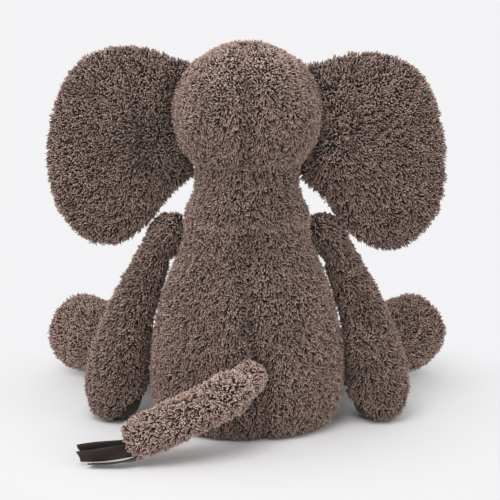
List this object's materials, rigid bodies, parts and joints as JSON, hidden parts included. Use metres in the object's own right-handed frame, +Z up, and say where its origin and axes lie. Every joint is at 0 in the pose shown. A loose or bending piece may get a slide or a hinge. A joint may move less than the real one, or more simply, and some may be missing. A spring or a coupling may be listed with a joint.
{
  "type": "stuffed elephant",
  "caption": "Sitting stuffed elephant with curly pile, padded ears, a bendable trunk, floppy limbs and a tail with a tassel.",
  "frame": {"origin": "centre of the flat seat underside", "axes": "+Z up through the head, -Y towards the face, +X towards the elephant's own left"},
  "size_m": [0.3342, 0.2692, 0.2905],
  "materials": {
    "pile": "curly taupe-brown pile",
    "suedette": "short smooth dark brown nap",
    "filling": "loose white fibre",
    "beads": "pouch of small beads",
    "eye": "glossy black",
    "washer": "plain white"
  },
  "bodies": {
    "torso": {"seat": "pile", "belly": "pile", "back_left": "pile", "back_right": "pile", "torso_filling": "filling", "bean_bag": "beads"},
    "neck": {"neck_cover": "pile", "neck_filling": "filling"},
    "head": {"head_left": "pile", "head_right": "pile", "forehead_gusset": "pile", "head_filling": "filling", "eye_left": "eye", "eye_right": "eye", "eye_washer_left": "washer", "eye_washer_right": "washer"},
    "trunk": {"trunk_left": "pile", "trunk_right": "pile", "trunk_filling": "filling"},
    "trunk_tip": {"trunk_tip_left": "pile", "trunk_tip_right": "pile", "trunk_tip_filling": "filling"},
    "tail": {"tail_upper": "pile", "tail_lower": "pile", "tail_filling": "filling"},
    "tassel": {"tassel_strip_1": "suedette", "tassel_strip_2": "suedette", "tassel_strip_3": "suedette"},
    "ear_left": {"ear_back_left": "pile", "ear_lining_left": "suedette", "ear_padding_left": "filling"},
    "arm_left": {"arm_front_left": "pile", "arm_back_left": "pile", "paw_pad_left": "suedette", "arm_filling_left": "filling"},
    "leg_left": {"leg_inner_left": "pile", "leg_outer_left": "pile", "sole_left": "suedette", "leg_filling_left": "filling"},
    "ear_right": {"ear_back_right": "pile", "ear_lining_right": "suedette", "ear_padding_right": "filling"},
    "arm_right": {"arm_front_right": "pile", "arm_back_right": "pile", "paw_pad_right": "suedette", "arm_filling_right": "filling"},
    "leg_right": {"leg_inner_right": "pile", "leg_outer_right": "pile", "sole_right": "suedette", "leg_filling_right": "filling"}
  },
  "joints": [
    {"name": "head_turn", "type": "hinge", "parent": "torso", "child": "neck", "pos_m": [0, 0, 0.185], "axis": [0, 0, 1], "range_deg": [-30, 30], "stiffness_Nm_per_rad": 0.2},
    {"name": "head_nod", "type": "hinge", "parent": "neck", "child": "head", "pos_m": [0, 0, 0.185], "axis": [1, 0, 0], "range_deg": [-14, 12], "stiffness_Nm_per_rad": 0.45},
    {"name": "ear_left_flap", "type": "hinge", "parent": "head", "child": "ear_left", "pos_m": [0.05788, -0.00506, 0], "axis": [0, 0, 1], "range_deg": [-38, 30], "stiffness_Nm_per_rad": 0.02},
    {"name": "ear_right_flap", "type": "hinge", "parent": "head", "child": "ear_right", "pos_m": [-0.05788, -0.00506, 0], "axis": [0, 0, -1], "range_deg": [-38, 30], "stiffness_Nm_per_rad": 0.02},
    {"name": "trunk_lift", "type": "hinge", "parent": "head", "child": "trunk", "pos_m": [0, -0.051, 0.22], "axis": [-1, 0, 0], "range_deg": [0, 60], "stiffness_Nm_per_rad": 0.06},
    {"name": "trunk_tip_curl", "type": "hinge", "parent": "trunk", "child": "trunk_tip", "pos_m": [0, -0.074, 0.174], "axis": [-1, 0, 0], "range_deg": [-15, 60], "stiffness_Nm_per_rad": 0.03},
    {"name": "arm_left_raise", "type": "hinge", "parent": "torso", "child": "arm_left", "pos_m": [0.058, -0.012, 0.1441], "axis": [-0.8526, -0.5225, 0], "range_deg": [0, 26]},
    {"name": "arm_right_raise", "type": "hinge", "parent": "torso", "child": "arm_right", "pos_m": [-0.058, -0.012, 0.1441], "axis": [0.8526, -0.5225, 0], "range_deg": [-26, 0]},
    {"name": "leg_left_lift", "type": "hinge", "parent": "torso", "child": "leg_left", "pos_m": [0.056, -0.042, 0.027], "axis": [0.7254, 0.6884, 0], "range_deg": [-30, 0]},
    {"name": "leg_right_lift", "type": "hinge", "parent": "torso", "child": "leg_right", "pos_m": [-0.056, -0.042, 0.027], "axis": [-0.7254, 0.6884, 0], "range_deg": [0, 30]},
    {"name": "tail_swing", "type": "hinge", "parent": "torso", "child": "tail", "pos_m": [-0.01, 0.06009, 0.056], "axis": [0, 0, 1], "range_deg": [0, 60]},
    {"name": "tassel_lift", "type": "hinge", "parent": "tail", "child": "tassel", "pos_m": [0.0844, 0.09801, 0.016], "axis": [0.0198, -0.9998, 0], "range_deg": [0, 50]}
  ]
}
